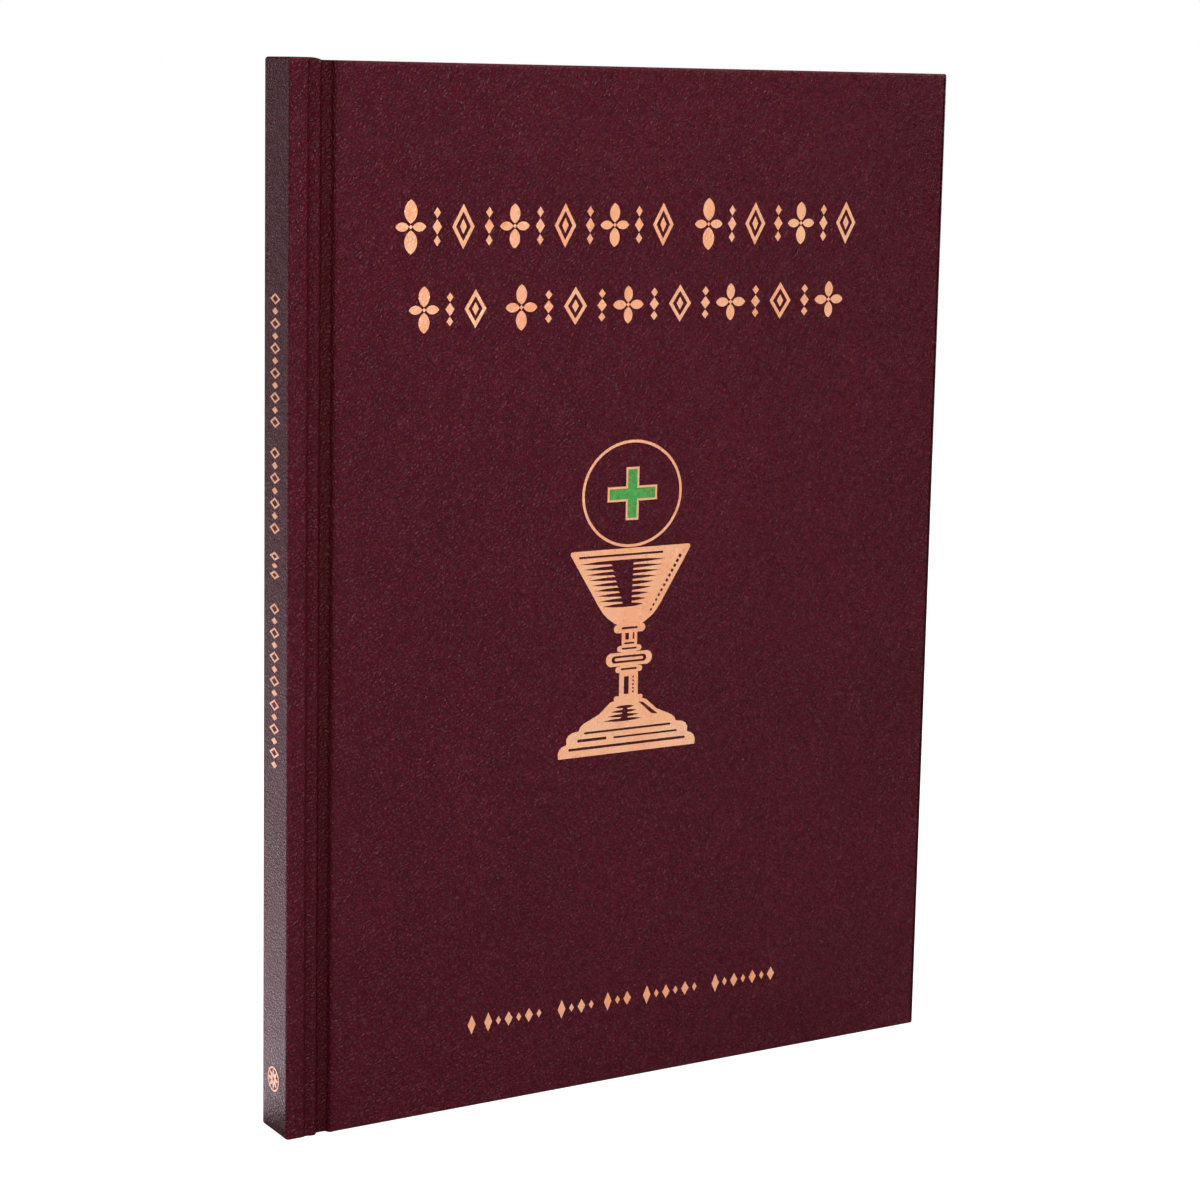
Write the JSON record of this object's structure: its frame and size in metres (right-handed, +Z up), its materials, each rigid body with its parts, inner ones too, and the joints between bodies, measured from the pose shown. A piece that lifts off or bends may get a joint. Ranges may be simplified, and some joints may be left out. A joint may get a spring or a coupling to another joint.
{
  "type": "prayer book",
  "caption": "Thin case-bound prayer book in grained maroon leather with a pressed joint, stamped foil ornament, opening covers and leaves that turn with them.",
  "frame": {"origin": "middle of the tail, on the surface that the closed book stands on", "axes": "+X from the spine to the fore-edge, +Y from the front cover to the back cover, +Z up the height from tail to head"},
  "size_m": [0.2001, 0.0151, 0.2736],
  "materials": {
    "maroon_leather": "satin grained",
    "gold_foil": "satin metallic foil",
    "green_foil": "satin pigment foil",
    "cover_card": "matt grey board",
    "endpaper": "matt",
    "text_paper": "matt, slightly warm",
    "gauze": "open-weave starched cotton",
    "linen_thread": "waxed",
    "band_cloth": "woven stripe",
    "lining_paper": "kraft brown"
  },
  "bodies": {
    "spine_block": {"section_folds": "text_paper", "sewing_threads": "linen_thread", "spine_lining": "lining_paper", "mull": "gauze", "front_endpaper_fold": "endpaper", "back_endpaper_fold": "endpaper", "headband": "band_cloth", "tailband": "band_cloth", "spine_board": "cover_card", "spine_leather": "maroon_leather", "spine_band": "gold_foil", "spine_roundel": "gold_foil"},
    "front_cover": {"front_board": "cover_card", "front_leather": "maroon_leather", "front_pastedown": "endpaper", "front_mull_flap": "gauze", "title_band_upper": "gold_foil", "title_band_lower": "gold_foil", "host_ring": "gold_foil", "cross_border": "gold_foil", "cross_inlay": "green_foil", "chalice": "gold_foil", "foot_band": "gold_foil"},
    "back_cover": {"back_board": "cover_card", "back_leather": "maroon_leather", "back_pastedown": "endpaper", "back_mull_flap": "gauze"},
    "front_flyleaf_leaf": {"front_flyleaf": "endpaper"},
    "back_flyleaf_leaf": {"back_flyleaf": "endpaper"},
    "leaves_1": {"section_1": "text_paper"},
    "leaves_2": {"section_2": "text_paper"},
    "leaves_3": {"section_3": "text_paper"},
    "leaves_4": {"section_4": "text_paper"},
    "leaves_5": {"section_5": "text_paper"},
    "leaves_6": {"section_6": "text_paper"},
    "leaves_7": {"section_7": "text_paper"},
    "leaves_8": {"section_8": "text_paper"}
  },
  "joints": [
    {"name": "front_cover_hinge", "type": "hinge", "parent": "spine_block", "child": "front_cover", "pos_m": [-0.0894, -0.0075, 0], "axis": [0, 0, -1], "range_deg": [0, 180]},
    {"name": "back_cover_hinge", "type": "hinge", "parent": "spine_block", "child": "back_cover", "pos_m": [-0.0894, 0.0075, 0], "axis": [0, 0, -1], "range_deg": [-180, 0]},
    {"name": "front_flyleaf_turn", "type": "hinge", "parent": "spine_block", "child": "front_flyleaf_leaf", "pos_m": [-0.0894, -0.0075, 0], "axis": [0, 0, -1], "range_deg": [0, 172.8]},
    {"name": "section_1_turn", "type": "hinge", "parent": "spine_block", "child": "leaves_1", "pos_m": [-0.0894, -0.0075, 0], "axis": [0, 0, -1], "range_deg": [0, 167.4]},
    {"name": "section_2_turn", "type": "hinge", "parent": "spine_block", "child": "leaves_2", "pos_m": [-0.0894, -0.0075, 0], "axis": [0, 0, -1], "range_deg": [0, 162]},
    {"name": "section_3_turn", "type": "hinge", "parent": "spine_block", "child": "leaves_3", "pos_m": [-0.0894, -0.0075, 0], "axis": [0, 0, -1], "range_deg": [0, 156.6]},
    {"name": "section_4_turn", "type": "hinge", "parent": "spine_block", "child": "leaves_4", "pos_m": [-0.0894, -0.0075, 0], "axis": [0, 0, -1], "range_deg": [0, 151.2]},
    {"name": "back_flyleaf_turn", "type": "hinge", "parent": "spine_block", "child": "back_flyleaf_leaf", "pos_m": [-0.0894, 0.0075, 0], "axis": [0, 0, -1], "range_deg": [-172.8, 0]},
    {"name": "section_8_turn", "type": "hinge", "parent": "spine_block", "child": "leaves_8", "pos_m": [-0.0894, 0.0075, 0], "axis": [0, 0, -1], "range_deg": [-167.4, 0]},
    {"name": "section_7_turn", "type": "hinge", "parent": "spine_block", "child": "leaves_7", "pos_m": [-0.0894, 0.0075, 0], "axis": [0, 0, -1], "range_deg": [-162, 0]},
    {"name": "section_6_turn", "type": "hinge", "parent": "spine_block", "child": "leaves_6", "pos_m": [-0.0894, 0.0075, 0], "axis": [0, 0, -1], "range_deg": [-156.6, 0]},
    {"name": "section_5_turn", "type": "hinge", "parent": "spine_block", "child": "leaves_5", "pos_m": [-0.0894, 0.0075, 0], "axis": [0, 0, -1], "range_deg": [-151.2, 0]}
  ],
  "couplings": [
    {"joint": "front_flyleaf_turn", "follows": "front_cover_hinge", "ratio": 0.96},
    {"joint": "section_1_turn", "follows": "front_cover_hinge", "ratio": 0.93},
    {"joint": "section_2_turn", "follows": "front_cover_hinge", "ratio": 0.9},
    {"joint": "section_3_turn", "follows": "front_cover_hinge", "ratio": 0.87},
    {"joint": "section_4_turn", "follows": "front_cover_hinge", "ratio": 0.84},
    {"joint": "back_flyleaf_turn", "follows": "back_cover_hinge", "ratio": 0.96},
    {"joint": "section_8_turn", "follows": "back_cover_hinge", "ratio": 0.93},
    {"joint": "section_7_turn", "follows": "back_cover_hinge", "ratio": 0.9},
    {"joint": "section_6_turn", "follows": "back_cover_hinge", "ratio": 0.87},
    {"joint": "section_5_turn", "follows": "back_cover_hinge", "ratio": 0.84}
  ]
}
